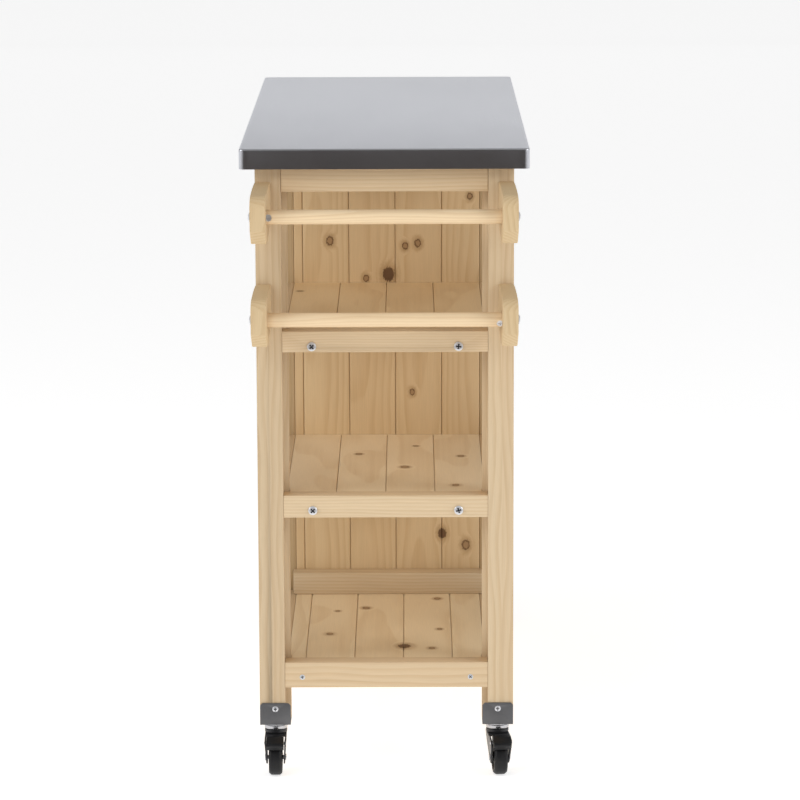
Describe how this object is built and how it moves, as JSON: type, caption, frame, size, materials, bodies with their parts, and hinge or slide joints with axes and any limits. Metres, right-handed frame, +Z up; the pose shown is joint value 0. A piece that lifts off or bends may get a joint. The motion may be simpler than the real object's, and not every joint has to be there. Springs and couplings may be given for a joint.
{
  "type": "kitchen island cart",
  "caption": "Wooden kitchen island cart on braked swivel casters, with a folded stainless steel worktop, boarded shelves round a plank divider, and towel rods at one end.",
  "frame": {"origin": "on the floor at the middle of the outline, ears included", "axes": "+Z up, +Y along the worktop away from the end with the towel rods, +X to the right seen from that end"},
  "size_m": [0.4, 1.062, 0.893],
  "materials": {
    "stainless_steel": "satin brushed along the length",
    "core_board": "raw board",
    "pine_frame": "planed, clear lacquer",
    "pine_boards": "planed tongue and groove boards with knots",
    "pine_turned": "sanded, clear lacquer",
    "zinc": "bright zinc plate",
    "foot_plate_grey": "grey powder coat",
    "fork_steel": "dark grey coat",
    "wheel_black": "moulded, slightly worn",
    "pedal_black": "fine texture"
  },
  "bodies": {
    "cart": {"barrel_nuts": "zinc", "bottom_boards_back": "pine_boards", "bottom_boards_front": "pine_boards", "bottom_rail_back": "pine_frame", "bottom_rail_front": "pine_frame", "bottom_side_rails": "pine_frame", "caster_heads": "zinc", "divider_foot_batten": "pine_frame", "divider_planks": "pine_boards", "divider_top_rail": "pine_frame", "ear_lower_left": "pine_turned", "ear_lower_right": "pine_turned", "ear_upper_left": "pine_turned", "ear_upper_right": "pine_turned", "foot_plates": "foot_plate_grey", "leg_back_left": "pine_frame", "leg_back_right": "pine_frame", "leg_front_left": "pine_frame", "leg_front_right": "pine_frame", "middle_boards_back": "pine_boards", "middle_boards_front": "pine_boards", "middle_post_left": "pine_frame", "middle_post_right": "pine_frame", "middle_rail_back": "pine_frame", "middle_rail_front": "pine_frame", "middle_side_rails": "pine_frame", "plate_screws": "zinc", "rail_screws": "zinc", "rod_bolts": "zinc", "shelf_bearers": "pine_frame", "shelf_bolts": "zinc", "top_end_rail_back": "pine_frame", "top_end_rail_front": "pine_frame", "top_side_rail_left": "pine_frame", "top_side_rail_right": "pine_frame", "towel_rod_lower": "pine_turned", "towel_rod_upper": "pine_turned", "upper_boards_back": "pine_boards", "upper_boards_front": "pine_boards", "upper_rail_back": "pine_frame", "upper_rail_front": "pine_frame", "upper_side_rails": "pine_frame", "worktop_core": "core_board", "worktop_sheet": "stainless_steel"},
    "caster_front_left": {"caster_fork_front_left": "fork_steel", "caster_axle_front_left": "zinc"},
    "wheel_front_left": {"caster_wheel_front_left": "wheel_black"},
    "brake_front_left": {"caster_brake_front_left": "pedal_black"},
    "caster_front_right": {"caster_fork_front_right": "fork_steel", "caster_axle_front_right": "zinc"},
    "wheel_front_right": {"caster_wheel_front_right": "wheel_black"},
    "brake_front_right": {"caster_brake_front_right": "pedal_black"},
    "caster_back_left": {"caster_fork_back_left": "fork_steel", "caster_axle_back_left": "zinc"},
    "wheel_back_left": {"caster_wheel_back_left": "wheel_black"},
    "brake_back_left": {"caster_brake_back_left": "pedal_black"},
    "caster_back_right": {"caster_fork_back_right": "fork_steel", "caster_axle_back_right": "zinc"},
    "wheel_back_right": {"caster_wheel_back_right": "wheel_black"},
    "brake_back_right": {"caster_brake_back_right": "pedal_black"}
  },
  "joints": [
    {"name": "swivel_front_left", "type": "hinge", "parent": "cart", "child": "caster_front_left", "pos_m": [-0.15725, -0.425, 0.056], "axis": [0, 0, 1], "continuous": true},
    {"name": "wheel_spin_front_left", "type": "hinge", "parent": "caster_front_left", "child": "wheel_front_left", "pos_m": [-0.15725, -0.449, 0.025], "axis": [1, 0, 0], "continuous": true},
    {"name": "brake_pedal_front_left", "type": "hinge", "parent": "caster_front_left", "child": "brake_front_left", "pos_m": [-0.15725, -0.467, 0.05], "axis": [1, 0, 0], "range_deg": [0, 12]},
    {"name": "swivel_front_right", "type": "hinge", "parent": "cart", "child": "caster_front_right", "pos_m": [0.15725, -0.425, 0.056], "axis": [0, 0, 1], "continuous": true},
    {"name": "wheel_spin_front_right", "type": "hinge", "parent": "caster_front_right", "child": "wheel_front_right", "pos_m": [0.15976, -0.44887, 0.025], "axis": [0.9945, 0.1045, 0], "continuous": true},
    {"name": "brake_pedal_front_right", "type": "hinge", "parent": "caster_front_right", "child": "brake_front_right", "pos_m": [0.16164, -0.46677, 0.05], "axis": [0.9945, 0.1045, 0], "range_deg": [0, 12]},
    {"name": "swivel_back_left", "type": "hinge", "parent": "cart", "child": "caster_back_left", "pos_m": [-0.15725, 0.487, 0.056], "axis": [0, 0, 1], "continuous": true},
    {"name": "wheel_spin_back_left", "type": "hinge", "parent": "caster_back_left", "child": "wheel_back_left", "pos_m": [-0.15725, 0.463, 0.025], "axis": [1, 0, 0], "continuous": true},
    {"name": "brake_pedal_back_left", "type": "hinge", "parent": "caster_back_left", "child": "brake_back_left", "pos_m": [-0.15725, 0.445, 0.05], "axis": [1, 0, 0], "range_deg": [0, 12]},
    {"name": "swivel_back_right", "type": "hinge", "parent": "cart", "child": "caster_back_right", "pos_m": [0.15725, 0.487, 0.056], "axis": [0, 0, 1], "continuous": true},
    {"name": "wheel_spin_back_right", "type": "hinge", "parent": "caster_back_right", "child": "wheel_back_right", "pos_m": [0.15725, 0.463, 0.025], "axis": [1, 0, 0], "continuous": true},
    {"name": "brake_pedal_back_right", "type": "hinge", "parent": "caster_back_right", "child": "brake_back_right", "pos_m": [0.15725, 0.445, 0.05], "axis": [1, 0, 0], "range_deg": [0, 12]}
  ]
}
